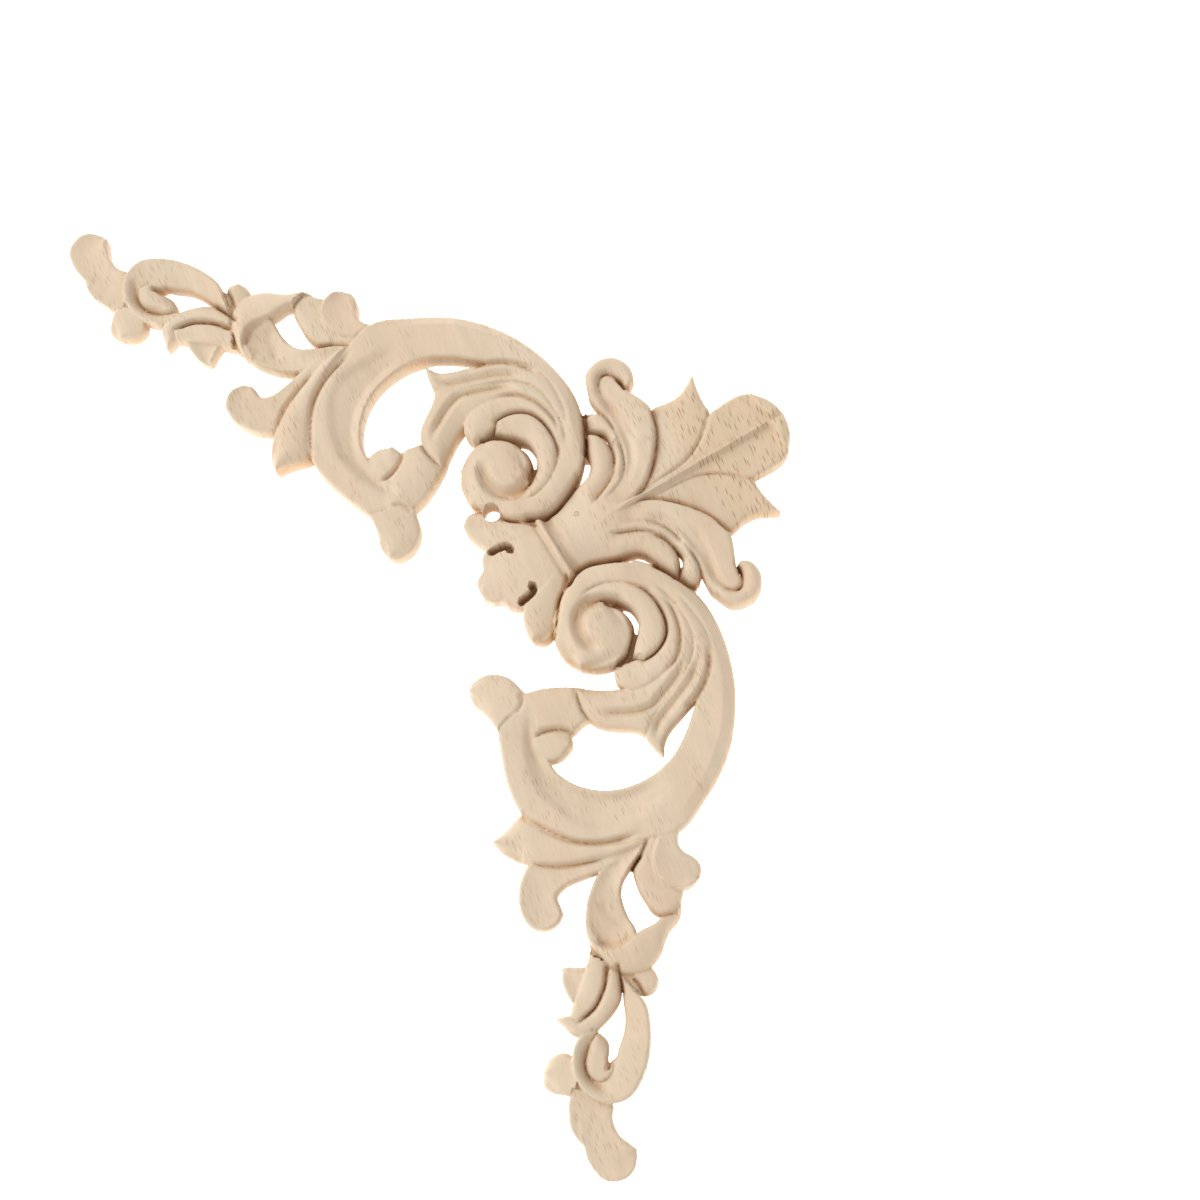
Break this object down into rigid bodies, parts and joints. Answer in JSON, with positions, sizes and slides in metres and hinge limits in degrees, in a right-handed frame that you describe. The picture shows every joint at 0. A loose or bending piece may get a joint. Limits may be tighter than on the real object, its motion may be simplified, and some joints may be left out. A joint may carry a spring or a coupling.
{
  "type": "corner onlay",
  "caption": "Flat-backed carved wooden corner onlay: mirrored arms of pierced leaf scrollwork that meet in a fan of leaves at the corner.",
  "frame": {"origin": "centre of the square outline, on the plane of the flat back", "axes": "+Z out of the carved face; the outer corner is at +X +Y, one arm runs to -X along the +Y edge and the other to -Y along the +X edge"},
  "size_m": [0.1992, 0.1992, 0.0096],
  "materials": {
    "rubberwood": "unfinished pale rubberwood, carved and lightly sanded"
  },
  "bodies": {
    "root": {"corner_onlay": "rubberwood"}
  },
  "joints": []
}
